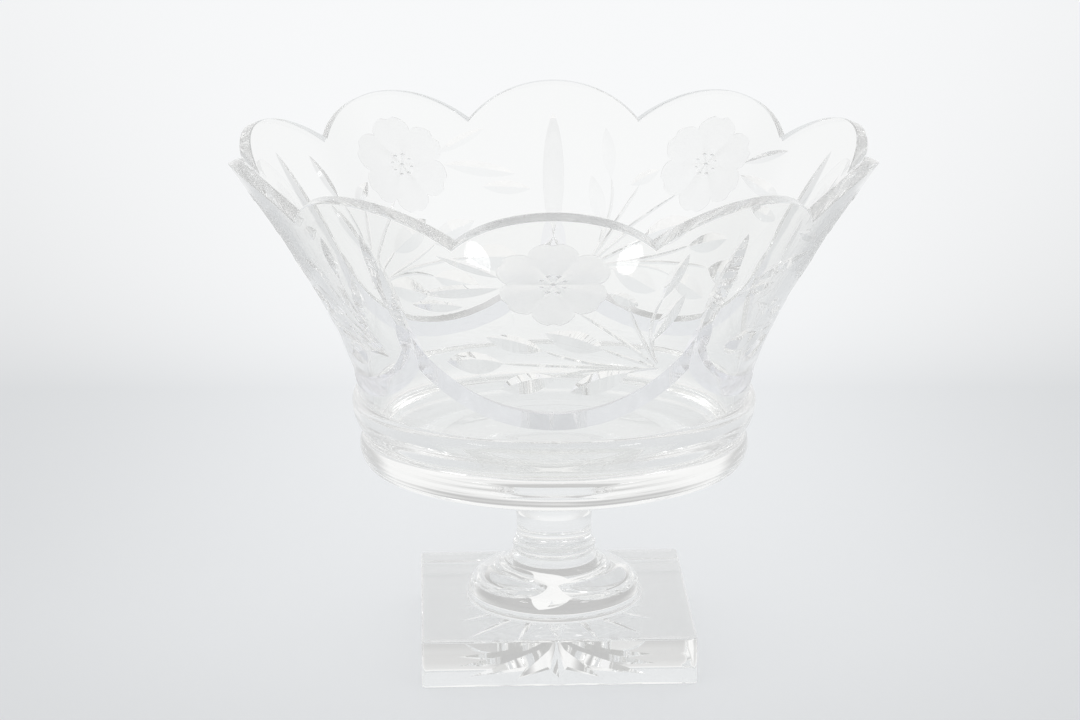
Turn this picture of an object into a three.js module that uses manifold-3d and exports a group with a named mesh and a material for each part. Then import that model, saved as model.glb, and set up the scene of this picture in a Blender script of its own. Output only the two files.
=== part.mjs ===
// Footed glass bowl: a flared, ten-scalloped bowl with two ring mouldings, joined by glass wafers to a short
// stem and a domed foot, which stands on a thick square plinth with a star cut into its underside.
// Millimetres, +Z up, origin under the middle of the plinth, the front of the bowl towards -Y.

import * as THREE from 'three';
import { mergeVertices, toCreasedNormals } from 'three/addons/utils/BufferGeometryUtils.js';
import Module from 'manifold-3d';

// Plinth
const PLINTH_SIDE = 104.8;
const PLINTH_HEIGHT = 18.4;
const PLINTH_CORNER = 1.6; // radius of the four upright edges
const PLINTH_EDGE = 0.8; // softened edges above and below
const PLINTH_TURN = 2.3; // degrees: the plinth sits slightly turned under the bowl, as joined by hand

// Star cut under the plinth: wheel-cut rays, in turn towards the sides, between, and towards the corners
const STAR_RAYS = 16;
const STAR_DEPTH = 5;
const STAR_HALF_WIDTH = 8; // half the width of a ray at the middle of the star
const STAR_REACH = { side: 38, between: 41, corner: 48 };

// Domed foot
const FOOT_RADIUS = 34.7;
const FOOT_LIP = 2.2; // height of the thin rim under the dome
const FOOT_STEP = 0.5; // the dome stands this much inside the rim
const FOOT_HEIGHT = 20.2;
const NECK_RADIUS = 15.9; // top of the foot
const FOOT_EDGE = 0.5; // softened edges of the rim
const DOME_TURN = { radius: 25.4, height: 12.3 }; // where the full dome turns into the hollow sweep
const DOME_PULL = { low: { radius: 34, height: 7.4 }, high: { radius: 30.6, height: 10.7 } };
const SWEEP_PULL = { low: { radius: 20, height: 14 }, high: { radius: 17.4, height: 15.8 } };

// Lower wafer, stem, upper wafer
const LOWER_WAFER_HEIGHT = 4;
const STEM_HEIGHT = 11;
const UPPER_WAFER_HEIGHT = 9.4;
const WAFER_RADIUS = 15.6;
const WAFER_BEAD = 0.5; // how far the side of a wafer bulges past its flat faces
const STEM_RADIUS = 15.1;
const STEM_WAIST = 14.6;

// Bowl
const BOWL_HEIGHT = 136.2; // from the joint with the upper wafer to the outer edge at a scallop's tip
const RIM_RADIUS = 125; // outer edge at a scallop's tip
const RIM_THICKNESS = 5;
const RIM_TILT = 22; // degrees: the rim's face falls outwards
const FLARE = 33.5; // degrees from upright, at the rim
const WALL_FOOT_RADIUS = 75.8; // outside, where the wall stands on the upper moulding
const WALL_FOOT_THICKNESS = 5.6;
const WALL_LEAN = 6; // degrees from upright, at the foot of the wall
const WALL_FOOT_PULL = 22; // how far the wall keeps that lean before it flares
const RIM_PULL = 52; // how far down the wall keeps the flare
const SCALLOPS = 10;
const NOTCH_DROP = 14.3; // how far the notches between scallops lie below the tips
const NOTCH_FLAT = 0.3; // how far each cut runs past its notches into the next scallop

// Ring mouldings, measured from the joint with the upper wafer
const LOWER_RING = { core: 72, bulge: 3.3, height: 19.5, half: 6, from: -55, to: 78 };
const UPPER_RING = { core: 71, bulge: 7.1, height: 37, fall: 11.4, from: -74, crown: 3.7, rise: 4.2, to: 75 };
const UNDERSIDE_PULL = { radius: 48, height: 3.4 };
const FLOOR_HEIGHT = 21.5; // inside, in the middle
const FLOOR_DISH = 1; // how far the floor's corner dips under that
const FLOOR_CORNER = 24; // how far in from the wall the corner starts to round

// Cuts round the bowl: five panels, each framed by a hanging swag and, between panels, an upright spear
const PANELS = 5;
const SWAG_HALF_ANGLE = 36.7; // degrees, where the swag's arms stand upright
const SWAG_TOP = 86.9; // height of the arms' ends above the joint
const SWAG_DROP = 35.3;
const SWAG_DEPTH = 2;
const SWAG_UPPER_FACET = 2.4;
const SWAG_LOWER_FACET = 6.4;
const SWAG_STEPS = 22;
const SPEAR_LOW = 77.5;
const SPEAR_HIGH = 124;
const SPEAR_HALF_WIDTH = 4.4;
const SPEAR_DEPTH = 2.2;
const SPEAR_FULLNESS = 0.8; // under 1 keeps the spear broad towards its points
const SPEAR_STEPS = 8;

// Smoothness
const BOWL_SIDES = 70;
const STEM_SIDES = 50;
const SCALLOP_STEPS = 14;
const CREASE = 25; // degrees: sharper edges than this are shaded as edges

// Heights of the joints above the surface that the plinth stands on
const FOOT_BASE = PLINTH_HEIGHT;
const LOWER_WAFER_BASE = FOOT_BASE + FOOT_HEIGHT;
const STEM_BASE = LOWER_WAFER_BASE + LOWER_WAFER_HEIGHT;
const UPPER_WAFER_BASE = STEM_BASE + STEM_HEIGHT;
const BOWL_BASE = UPPER_WAFER_BASE + UPPER_WAFER_HEIGHT;

const rad = THREE.MathUtils.degToRad;
const vec2 = (x, y) => new THREE.Vector2(x, y);

// Boolean cuts
const wasm = await Module();
wasm.setup();

function solid(geometry) {
  const bare = geometry.clone();
  bare.deleteAttribute('normal');
  bare.deleteAttribute('uv');
  const merged = mergeVertices(bare, 1e-4);
  const mesh = new wasm.Mesh({
    numProp: 3,
    vertProperties: new Float32Array(merged.attributes.position.array),
    triVerts: new Uint32Array(merged.index.array),
  });
  return new wasm.Manifold(mesh);
}

function geometryOf(manifold) {
  const mesh = manifold.getMesh();
  const geometry = new THREE.BufferGeometry();
  geometry.setAttribute('position', new THREE.BufferAttribute(mesh.vertProperties, 3));
  geometry.setIndex(new THREE.BufferAttribute(mesh.triVerts, 1));
  return toCreasedNormals(geometry, rad(CREASE));
}

// A closed body of revolution about Z from an outline of [radius, height] that starts and ends on the axis
function turned(outline, sides) {
  const lathe = new THREE.LatheGeometry(outline, sides);
  return lathe.rotateX(Math.PI / 2);
}

function arc(cx, cy, rx, ry, from, to, steps) {
  return new THREE.EllipseCurve(cx, cy, rx, ry, rad(from), rad(to), to < from).getPoints(steps);
}

// Glass of the whole object
function glass() {
  return new THREE.MeshStandardMaterial({
    color: '#f1f4f4',
    roughness: 0.03,
    metalness: 0,
    transparent: true,
    opacity: 0.35,
  });
}

function piece(name, geometry, height) {
  const mesh = new THREE.Mesh(geometry, glass());
  mesh.name = name;
  mesh.position.z = height;
  return mesh;
}

// The outer face of the wall from the upper ring to the rim, as [radius, height above the bowl's joint]
const wallFoot = vec2(WALL_FOOT_RADIUS, UPPER_RING.height + UPPER_RING.rise);
const rimEdge = vec2(RIM_RADIUS, BOWL_HEIGHT);
const flareDirection = vec2(Math.sin(rad(FLARE)), Math.cos(rad(FLARE)));
const leanDirection = vec2(Math.sin(rad(WALL_LEAN)), Math.cos(rad(WALL_LEAN)));
const rimFaceDirection = vec2(Math.cos(rad(RIM_TILT)), -Math.sin(rad(RIM_TILT)));

function wallCurve(foot, rim) {
  return new THREE.CubicBezierCurve(
    foot,
    foot.clone().addScaledVector(leanDirection, WALL_FOOT_PULL),
    rim.clone().addScaledVector(flareDirection, -RIM_PULL),
    rim,
  );
}

const outerWall = wallCurve(wallFoot, rimEdge);

// The point of the outer wall at a height, with its outward normal
function wallAt(height) {
  let low = 0;
  let high = 1;
  for (let i = 0; i < 40; i++) {
    const middle = (low + high) / 2;
    if (outerWall.getPoint(middle).y < height) low = middle;
    else high = middle;
  }
  const tangent = outerWall.getTangent(low);
  return { radius: outerWall.getPoint(low).x, normal: vec2(tangent.y, -tangent.x) };
}

// Bends a cutter made lying flat onto the wall. Flat: x is degrees round the bowl, y is height, z is how far
// the point stands out from the wall.
function bendOntoWall(geometry) {
  const position = geometry.attributes.position;
  for (let i = 0; i < position.count; i++) {
    const { radius, normal } = wallAt(position.getY(i));
    const out = position.getZ(i);
    const angle = rad(position.getX(i));
    const r = radius + normal.x * out;
    position.setXYZ(i, r * Math.sin(angle), -r * Math.cos(angle), position.getY(i) + normal.y * out);
  }
  return geometry;
}

// Bowl blank before cutting: one revolved outline, outside first, carried a little past the rim
function bowlBlank() {
  const spare = 3;
  const innerRim = rimEdge.clone().addScaledVector(rimFaceDirection, -RIM_THICKNESS);
  const innerFoot = vec2(WALL_FOOT_RADIUS - WALL_FOOT_THICKNESS, wallFoot.y);
  const innerWall = wallCurve(innerFoot, innerRim);
  const lower = LOWER_RING;
  const lowerRing = arc(lower.core, lower.height, lower.bulge, lower.half, lower.from, lower.to, 5);
  const underside = new THREE.QuadraticBezierCurve(
    vec2(WAFER_RADIUS, 0),
    vec2(UNDERSIDE_PULL.radius, UNDERSIDE_PULL.height),
    lowerRing[0],
  );
  const upper = UPPER_RING;
  const crownCore = upper.core + upper.bulge - upper.crown;
  const floorDepth = innerFoot.y - FLOOR_HEIGHT + FLOOR_DISH;
  const outline = [
    vec2(0, 0),
    ...underside.getPoints(5),
    ...lowerRing.slice(1),
    ...arc(upper.core, upper.height, upper.bulge, upper.fall, upper.from, 0, 5),
    ...arc(crownCore, upper.height, upper.crown, upper.rise, 0, upper.to, 4).slice(1),
    ...outerWall.getPoints(9),
    rimEdge.clone().addScaledVector(flareDirection, spare),
    innerRim.clone().addScaledVector(flareDirection, spare),
    ...innerWall.getPoints(7).reverse(),
    ...arc(innerFoot.x - FLOOR_CORNER, innerFoot.y, FLOOR_CORNER, floorDepth, 0, -90, 5).slice(1),
    vec2(0, FLOOR_HEIGHT),
  ];
  return turned(outline, BOWL_SIDES);
}

// What is ground away above one scallop: the space over a round arc, pushed through the wall along the rim's
// face, between two upright planes that run just past its notches
function scallopCutter() {
  const half = rad(180 / SCALLOPS);
  const notch = wallAt(BOWL_HEIGHT - NOTCH_DROP).radius;
  const chord = notch * Math.sin(half);
  const nearer = RIM_RADIUS - notch * Math.cos(half);
  const depth = nearer * Math.sin(rad(RIM_TILT)) + NOTCH_DROP * Math.cos(rad(RIM_TILT));
  const arcRadius = (chord ** 2 + depth ** 2) / (2 * depth);
  const spread = Math.asin(chord / arcRadius);
  const reach = RIM_RADIUS / 2;
  const profile = new THREE.Shape();
  profile.moveTo(-reach, -depth);
  profile.lineTo(-chord, -depth);
  profile.absarc(0, -arcRadius, arcRadius, Math.PI / 2 + spread, Math.PI / 2 - spread, true);
  profile.lineTo(reach, -depth);
  profile.lineTo(reach, reach);
  profile.lineTo(-reach, reach);
  const options = { depth: reach, bevelEnabled: false, curveSegments: SCALLOP_STEPS };
  const cutter = new THREE.ExtrudeGeometry(profile, options);
  cutter.translate(0, 0, -reach / 2);
  cutter.rotateX(Math.PI / 2 + rad(RIM_TILT));
  cutter.translate(0, -rimEdge.x, rimEdge.y);

  const side = half + NOTCH_FLAT / notch;
  const far = RIM_RADIUS * 2;
  const wedge = new THREE.Shape([
    vec2(0, 0),
    vec2(-far * Math.sin(side), -far * Math.cos(side)),
    vec2(far * Math.sin(side), -far * Math.cos(side)),
  ]);
  const sector = new THREE.ExtrudeGeometry(wedge, { depth: BOWL_HEIGHT * 2, bevelEnabled: false });
  return solid(cutter).intersect(solid(sector));
}

// Swag: a hollow with a steep upper facet and a wide lower one, hanging in half an ellipse across a panel
function swagCutter() {
  const proud = 1.2;
  const section = new THREE.Shape([
    vec2(0, -SWAG_DEPTH),
    vec2(SWAG_UPPER_FACET * (1 + proud / SWAG_DEPTH), proud),
    vec2(-SWAG_LOWER_FACET * (1 + proud / SWAG_DEPTH), proud),
  ]);
  const cutter = new THREE.ExtrudeGeometry(section, { depth: 1, steps: SWAG_STEPS, bevelEnabled: false });
  const position = cutter.attributes.position;
  const turn = 82; // degrees either side of the lowest point
  for (let i = 0; i < position.count; i++) {
    const along = rad((position.getZ(i) * 2 - 1) * turn);
    const inwards = position.getX(i);
    const out = position.getY(i);
    const { radius } = wallAt(SWAG_TOP - SWAG_DROP * Math.cos(along));
    const millimetre = 180 / (Math.PI * radius);
    const slope = vec2((SWAG_HALF_ANGLE / millimetre) * Math.cos(along), SWAG_DROP * Math.sin(along));
    slope.normalize();
    position.setXYZ(
      i,
      SWAG_HALF_ANGLE * Math.sin(along) - inwards * slope.y * millimetre,
      SWAG_TOP - SWAG_DROP * Math.cos(along) + inwards * slope.x,
      out,
    );
  }
  return solid(bendOntoWall(cutter));
}

// Spear: a pointed hollow with two facets that meet in an upright keel
function spearCutter() {
  const length = SPEAR_HIGH - SPEAR_LOW;
  const outline = [];
  for (let i = 0; i <= SPEAR_STEPS; i++) {
    const t = i / SPEAR_STEPS;
    outline.push(vec2(Math.sin(Math.PI * t) ** SPEAR_FULLNESS, SPEAR_LOW + length * t));
  }
  outline[0].x = 0;
  outline[SPEAR_STEPS].x = 0;
  const spindle = new THREE.LatheGeometry(outline, 4, Math.PI / 2);
  const position = spindle.attributes.position;
  for (let i = 0; i < position.count; i++) {
    const height = position.getY(i);
    const millimetre = 180 / (Math.PI * wallAt(height).radius);
    const across = position.getX(i) * SPEAR_HALF_WIDTH * millimetre;
    position.setXYZ(i, across, height, position.getZ(i) * SPEAR_DEPTH);
  }
  return solid(bendOntoWall(spindle));
}

function ringOf(cutter, count, offset) {
  const cutters = [];
  for (let i = 0; i < count; i++) cutters.push(cutter.rotate([0, 0, (360 * (i + offset)) / count]));
  return cutters;
}

function bowl() {
  let body = solid(bowlBlank());
  const cutters = [
    ...ringOf(scallopCutter(), SCALLOPS, 0),
    ...ringOf(swagCutter(), PANELS, 0),
    ...ringOf(spearCutter(), PANELS, 0.5),
  ];
  for (const cutter of cutters) body = body.subtract(cutter);
  return geometryOf(body);
}

// Wafer: a flat button of glass with a rounded side, which joins two pieces
function wafer(height, lowerRadius, upperRadius) {
  const side = new THREE.QuadraticBezierCurve(
    vec2(lowerRadius, 0),
    vec2(Math.max(lowerRadius, upperRadius) + 2 * WAFER_BEAD, height / 2),
    vec2(upperRadius, height),
  );
  return turned([vec2(0, 0), ...side.getPoints(5), vec2(0, height)], STEM_SIDES);
}

// Stem: short and waisted
function stem() {
  const side = new THREE.QuadraticBezierCurve(
    vec2(STEM_RADIUS, 0),
    vec2(2 * STEM_WAIST - STEM_RADIUS, STEM_HEIGHT / 2),
    vec2(STEM_RADIUS, STEM_HEIGHT),
  );
  return turned([vec2(0, 0), ...side.getPoints(5), vec2(0, STEM_HEIGHT)], STEM_SIDES);
}

// Foot: a thin round rim, a full dome, and a hollow sweep up to the neck
function foot() {
  const at = ({ radius, height }) => vec2(radius, height);
  const shoulder = vec2(FOOT_RADIUS - FOOT_EDGE - FOOT_STEP, FOOT_LIP);
  const neck = vec2(NECK_RADIUS, FOOT_HEIGHT);
  const dome = new THREE.CubicBezierCurve(shoulder, at(DOME_PULL.low), at(DOME_PULL.high), at(DOME_TURN));
  const sweep = new THREE.CubicBezierCurve(at(DOME_TURN), at(SWEEP_PULL.low), at(SWEEP_PULL.high), neck);
  const outline = [
    vec2(0, 0),
    vec2(FOOT_RADIUS - FOOT_EDGE, 0),
    vec2(FOOT_RADIUS, FOOT_EDGE),
    vec2(FOOT_RADIUS, FOOT_LIP - FOOT_EDGE),
    vec2(FOOT_RADIUS - FOOT_EDGE, FOOT_LIP),
    ...dome.getPoints(7),
    ...sweep.getPoints(6).slice(1),
    vec2(0, FOOT_HEIGHT),
  ];
  return turned(outline, STEM_SIDES);
}

// Plinth: a thick square slab with softened edges, star-cut underneath
function starRay(reach) {
  const ray = new THREE.ConeGeometry(1, reach, 4);
  ray.translate(0, reach / 2, 0);
  ray.scale(STAR_HALF_WIDTH, 1, STAR_DEPTH);
  return solid(ray);
}

function plinth() {
  const half = PLINTH_SIDE / 2 - PLINTH_EDGE;
  const corner = PLINTH_CORNER;
  const square = new THREE.Shape();
  square.moveTo(half, -half + corner);
  square.absarc(half - corner, half - corner, corner, 0, Math.PI / 2);
  square.absarc(-half + corner, half - corner, corner, Math.PI / 2, Math.PI);
  square.absarc(-half + corner, -half + corner, corner, Math.PI, Math.PI * 1.5);
  square.absarc(half - corner, -half + corner, corner, Math.PI * 1.5, Math.PI * 2);
  const slab = new THREE.ExtrudeGeometry(square, {
    depth: PLINTH_HEIGHT - 2 * PLINTH_EDGE,
    bevelSize: PLINTH_EDGE,
    bevelThickness: PLINTH_EDGE,
    bevelSegments: 2,
    curveSegments: 4,
  });
  slab.translate(0, 0, PLINTH_EDGE);
  let body = solid(slab);
  const reaches = [STAR_REACH.side, STAR_REACH.between, STAR_REACH.corner, STAR_REACH.between];
  for (let i = 0; i < STAR_RAYS; i++) {
    body = body.subtract(starRay(reaches[i % reaches.length]).rotate([0, 0, (360 * i) / STAR_RAYS]));
  }
  return geometryOf(body);
}

const footedBowl = new THREE.Group();
const turnedPlinth = piece('square_plinth', plinth(), 0);
turnedPlinth.rotation.z = rad(PLINTH_TURN);
footedBowl.add(turnedPlinth);
footedBowl.add(piece('domed_foot', foot(), FOOT_BASE));
footedBowl.add(piece('lower_wafer', wafer(LOWER_WAFER_HEIGHT, STEM_RADIUS, STEM_RADIUS), LOWER_WAFER_BASE));
footedBowl.add(piece('stem', stem(), STEM_BASE));
footedBowl.add(piece('upper_wafer', wafer(UPPER_WAFER_HEIGHT, STEM_RADIUS, WAFER_RADIUS), UPPER_WAFER_BASE));
footedBowl.add(piece('bowl', bowl(), BOWL_BASE));

export default footedBowl;
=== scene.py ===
import math
from types import SimpleNamespace

import bmesh
import bpy
import numpy as np
from bpy.props import FloatProperty, FloatVectorProperty, IntProperty, PointerProperty
from mathutils import Matrix


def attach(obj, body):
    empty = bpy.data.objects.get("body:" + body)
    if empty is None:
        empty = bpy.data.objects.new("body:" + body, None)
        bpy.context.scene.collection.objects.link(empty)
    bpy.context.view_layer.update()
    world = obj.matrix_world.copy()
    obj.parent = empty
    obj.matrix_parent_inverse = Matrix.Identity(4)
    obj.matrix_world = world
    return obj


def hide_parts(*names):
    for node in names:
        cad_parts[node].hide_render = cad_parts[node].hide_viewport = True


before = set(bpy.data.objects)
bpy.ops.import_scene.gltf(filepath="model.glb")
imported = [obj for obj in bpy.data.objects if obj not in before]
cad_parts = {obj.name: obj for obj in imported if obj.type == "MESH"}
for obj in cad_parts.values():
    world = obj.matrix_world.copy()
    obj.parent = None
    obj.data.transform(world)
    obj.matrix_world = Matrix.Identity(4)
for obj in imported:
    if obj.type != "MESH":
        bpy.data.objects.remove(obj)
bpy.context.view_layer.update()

bl_info = {
    "name": "Footed Cut-Glass Bowl",
    "version": (1, 0, 0),
    "blender": (4, 5, 0),
    "location": "View3D > Sidebar > Cut Glass",
    "description": "Builds a footed cut-glass bowl piece by piece, with its stage",
    "category": "Add Mesh",
}


# Sizes and colours that a user would change


def length(name, description, millimetres):
    """A length shown in the scene's unit, given here in millimetres."""
    return FloatProperty(name=name, description=description, default=millimetres / 1000, min=0.0, unit="LENGTH")


def angle(name, description, degrees):
    """An angle, given here in degrees."""
    return FloatProperty(name=name, description=description, default=math.radians(degrees), unit="ROTATION")


def colour(name, description, code):
    """A colour, given here as an sRGB hex code and kept linear."""
    return FloatVectorProperty(
        name=name, description=description, default=linear(code)[:3], size=3, min=0.0, max=1.0, subtype="COLOR"
    )


def linear(code):
    """An sRGB hex code as linear red, green, blue and an alpha of 1."""
    srgb = np.array([int(code[i : i + 2], 16) for i in (1, 3, 5)]) / 255
    rgb = np.where(srgb <= 0.04045, srgb / 12.92, ((srgb + 0.055) / 1.055) ** 2.4)
    return (*rgb.tolist(), 1.0)


class BlankSizes(bpy.types.PropertyGroup):
    """The blown and turned blank of the bowl, with its scalloped rim and two ring mouldings."""

    base: length("Base", "Height of the joint between the bowl and the upper wafer", 63)
    joint_radius: length("Joint radius", "Radius of the joint under the bowl", 15.6)
    height: length("Height", "From that joint to the outer edge at a scallop's tip", 136.2)
    rim_radius: length("Rim radius", "Outer edge at a scallop's tip", 125)
    rim_thickness: length("Rim thickness", "Wall at the rim", 5)
    rim_tilt: angle("Rim tilt", "How far the rim's face falls outwards", 22)
    notch_drop: length("Notch drop", "How far the notches lie below the tips", 14.3)
    softened: length("Softened edge", "Polished chamfer along both edges of the rim", 0.4)
    polished_edge: length("Polished edge", "How much of the rim's face is polished clear, along its outer edge", 1.7)
    wall_foot: length("Wall foot", "Outer radius where the wall stands on the upper ring", 75.8)
    wall_thickness: length("Wall thickness", "Wall just above the upper ring", 5.6)
    lean: angle("Lean", "Wall from upright at its foot", 6)
    flare: angle("Flare", "Wall from upright at the rim", 33.5)
    foot_pull: length("Foot pull", "How far the wall keeps its lean", 22)
    rim_pull: length("Rim pull", "How far down the wall keeps its flare", 52)
    floor: length("Floor", "Inside floor above the joint, in the middle", 21.5)
    scallops: IntProperty(name="Scallops", description="Scallops round the rim", default=10, min=3)
    columns: IntProperty(name="Columns", description="Facets round the bowl", default=400, min=40)


class CutSizes(bpy.types.PropertyGroup):
    """Wheel-cut and engraved decoration of one panel of the bowl."""

    panels: IntProperty(name="Panels", description="Panels round the bowl", default=5, min=1)
    swag_half_angle: angle("Swag half angle", "Where the swag's arms stand upright", 36.7)
    swag_top: length("Swag top", "Height of the arms' ends", 149.9)
    swag_drop: length("Swag drop", "From the arms' ends to the lowest point", 35.3)
    swag_depth: length("Swag depth", "Depth of the swag's keel", 2.0)
    swag_upper: length("Swag upper facet", "Width of the steep facet", 2.4)
    swag_lower: length("Swag lower facet", "Width of the wide facet", 6.4)
    spear_low: length("Spear foot", "Height of the spear's lower point", 140.5)
    spear_high: length("Spear point", "Height of the spear's upper point", 187)
    spear_half: length("Spear half width", "Half the width of a spear", 4.4)
    spear_depth: length("Spear depth", "Depth of a spear's keel", 2.2)
    leaf_steepness: FloatProperty(name="Leaf steepness", description="Depth over half width", default=0.36)
    stem_width: length("Stem width", "Half the width of an engraved stem", 0.75)
    petal_depth: length("Petal depth", "How deep the matt petals are hollowed", 0.6)


class FootSizes(bpy.types.PropertyGroup):
    """Domed foot, two wafers and the stem between them."""

    base: length("Base", "Height of the plinth's top", 18.4)
    radius: length("Foot radius", "Rim of the foot", 34.7)
    lip: length("Lip", "Height of the foot's rim", 2.2)
    edge: length("Edge", "Rounding of the rim", 0.5)
    step: length("Step", "How far the dome stands inside the rim", 0.5)
    neck: length("Neck", "Radius at the top of the foot", 15.9)
    foot_height: length("Foot height", "Foot from the plinth to the lower wafer", 20.2)
    lower_height: length("Lower wafer", "Height of the lower wafer", 4)
    stem_height: length("Stem height", "Height of the stem", 11)
    upper_height: length("Upper wafer", "Height of the upper wafer", 9.4)
    stem_radius: length("Stem radius", "Radius at both ends of the stem", 15.1)
    waist: length("Waist", "Radius at the stem's middle", 14.6)
    bead: length("Bead", "How far the upper wafer's side bulges", 0.5)
    collar: length("Collar", "How far the lower wafer swells, mostly near its foot", 1.1)


class PlinthSizes(bpy.types.PropertyGroup):
    """Thick square plinth with a star cut underneath."""

    side: length("Side", "Side of the square", 104.8)
    height: length("Height", "Thickness of the plinth", 18.4)
    corner: length("Corner", "Radius of the upright edges", 1.6)
    edge: length("Edge", "Softened edges above and below", 0.8)
    turn: angle("Turn", "How far the plinth is turned under the bowl", 2.3)
    star_depth: length("Star depth", "Depth at the middle of the star", 5)
    star_half: length("Star half width", "Half the width of a ray at the middle", 8)
    side_ray: length("Side ray", "Reach of the rays towards the sides", 38)
    between_ray: length("Between ray", "Reach of the rays between", 41)
    corner_ray: length("Corner ray", "Reach of the rays towards the corners", 48)


class GlassLook(bpy.types.PropertyGroup):
    """Glass of every piece."""

    tint: colour("Tint", "Colour of the clear glass", "#fefefd")
    index: FloatProperty(name="Index of refraction", description="24 per cent lead crystal", default=1.545)
    # Painted shade: the rim's tint is a shade greyer than the clear glass, standing in for the shade on the rim's
    # face.
    rim_painted_shade: colour("Rim painted shade", "Colour of the ground and felted rim", "#fdfdfc")
    # Painted shade: the swag's greyish, faintly blue tint stands in for the shade its facets show.
    band_painted_shade: colour("Swag painted shade", "Colour of the swags' smoothed facets", "#f9f9fd")
    matt: FloatProperty(name="Matt roughness", description="Roughness of the stone-wheel matting", default=0.27)


class StageLook(bpy.types.PropertyGroup):
    """Floor, surroundings, lamps and camera."""

    floor: colour("Floor", "Pale table top", "#edeff1")
    far_floor: colour("Far floor", "Sweep behind the table's edge", "#f9fafb")
    paleness: FloatProperty(name="Paleness", description="Share of the floor's tone without shadow", default=0.7)
    clearness: FloatProperty(name="Clearness", description="The same share, seen through glass", default=0.78)
    lamp_power: FloatProperty(name="Lamp power", description="Each of the two front lamps, in watts", default=0.6)
    table_edge: length("Table edge", "How far behind the bowl the table top ends", 353)
    camera_height: length("Camera height", "Height of the lens above the table", 456.5)
    camera_distance: length("Camera distance", "From the bowl's axis to the lens, level", 1209.74)
    camera_aside: length("Camera aside", "How far left of the bowl the camera stands", 0.63)
    camera_pitch: angle("Camera pitch", "How far the camera looks down", 15.8)
    camera_yaw: angle("Camera yaw", "How far the camera looks to the left", 0.223)
    camera_roll: angle("Camera roll", "How far the camera leans anticlockwise", -0.16)
    lens: FloatProperty(name="Lens", description="Focal length on a 36 mm sensor", default=108.44)


# Brightness of the surroundings, with 1 for white. The last three are seen in the glass alone.
WALLS, CEILING, ROOM, SIDES = 0.97, 0.54, 0.9, 0.6

GROUPS = {
    "bowl_blank": BlankSizes,
    "bowl_cuts": CutSizes,
    "bowl_foot": FootSizes,
    "bowl_plinth": PlinthSizes,
    "bowl_glass": GlassLook,
    "bowl_stage": StageLook,
}


def sizes(group_name):
    """A group's values in millimetres and degrees, with its plain numbers and colours as they are."""
    group = getattr(bpy.context.scene, group_name)
    values = {}
    for prop in group.bl_rna.properties:
        if prop.type not in {"FLOAT", "INT"}:
            continue
        value = getattr(group, prop.identifier)
        if prop.unit == "LENGTH":
            value *= 1000
        elif prop.unit == "ROTATION":
            value = math.degrees(value)
        values[prop.identifier] = value
    return SimpleNamespace(**values)


# Widest part of the upper ring above the joint, and its shoulder above that, in millimetres
UPPER_RING, SHOULDER = 37, 4.2


# Curves


def bezier(controls, count):
    """A Bezier curve: its control points summed with Bernstein's weights, at count even steps from 0 to 1."""
    t = np.linspace(0, 1, count)[:, None]
    last = len(controls) - 1
    weights = [math.comb(last, k) * t**k * (1 - t) ** (last - k) for k in range(last + 1)]
    return sum(w * np.asarray(c, float) for w, c in zip(weights, controls))


def arc(centre, radii, start, end, count):
    """Part of an ellipse: centre + radii x (cos a, sin a), with a going evenly from start to end in degrees."""
    a = np.radians(np.linspace(start, end, count))
    return np.stack([centre[0] + radii[0] * np.cos(a), centre[1] + radii[1] * np.sin(a)], 1)


def round_axis(radius, degrees, height):
    """Points at a radius and a height, degrees round from the front: (r sin a, -r cos a, z)."""
    a = np.radians(degrees)
    return np.stack(np.broadcast_arrays(radius * np.sin(a), -radius * np.cos(a), height), -1)


class Wall:
    """One face of the bowl's wall: a cubic curve of radius against height, with its direction at each point. It goes
    straight on for 4 mm past the rim, so that cuts can stand out of it there."""

    def __init__(self, foot, rim, b):
        lean = np.array([math.sin(math.radians(b.lean)), math.cos(math.radians(b.lean))])
        flare = np.array([math.sin(math.radians(b.flare)), math.cos(math.radians(b.flare))])
        foot, rim = np.array(foot), np.array(rim)
        curve = bezier([foot, foot + lean * b.foot_pull, rim - flare * b.rim_pull, rim], 1600)
        past_rim = rim + flare * np.linspace(0.1, 4, 40)[:, None]
        points = np.concatenate([curve, past_rim])
        steps = np.gradient(points, axis=0)
        steps /= np.linalg.norm(steps, axis=1)[:, None]
        self.radii, self.heights = points.T
        self.tangent_r, self.tangent_z = steps.T

    def at(self, height):
        """Radius at any heights, and the outward normal's radial and upward part: the direction turned outwards."""
        radius = np.interp(height, self.heights, self.radii)
        tangent_r = np.interp(height, self.heights, self.tangent_r)
        tangent_z = np.interp(height, self.heights, self.tangent_z)
        return radius, tangent_z, -tangent_r

    def place(self, degrees, height, out):
        """Points of the wall at degrees round and a height, moved out along the normal."""
        radius, normal_r, normal_z = self.at(height)
        return round_axis(radius + out * normal_r, degrees, height + out * normal_z)


def walls(b):
    """Outer and inner face of the bowl's wall."""
    tilt = math.radians(b.rim_tilt)
    rim = np.array([b.rim_radius, b.base + b.height])
    inner_rim = rim + b.rim_thickness * np.array([-math.cos(tilt), math.sin(tilt)])
    foot_height = b.base + UPPER_RING + SHOULDER
    outer = Wall([b.wall_foot, foot_height], rim, b)
    inner = Wall([b.wall_foot - b.wall_thickness, foot_height], inner_rim, b)
    return outer, inner


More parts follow.
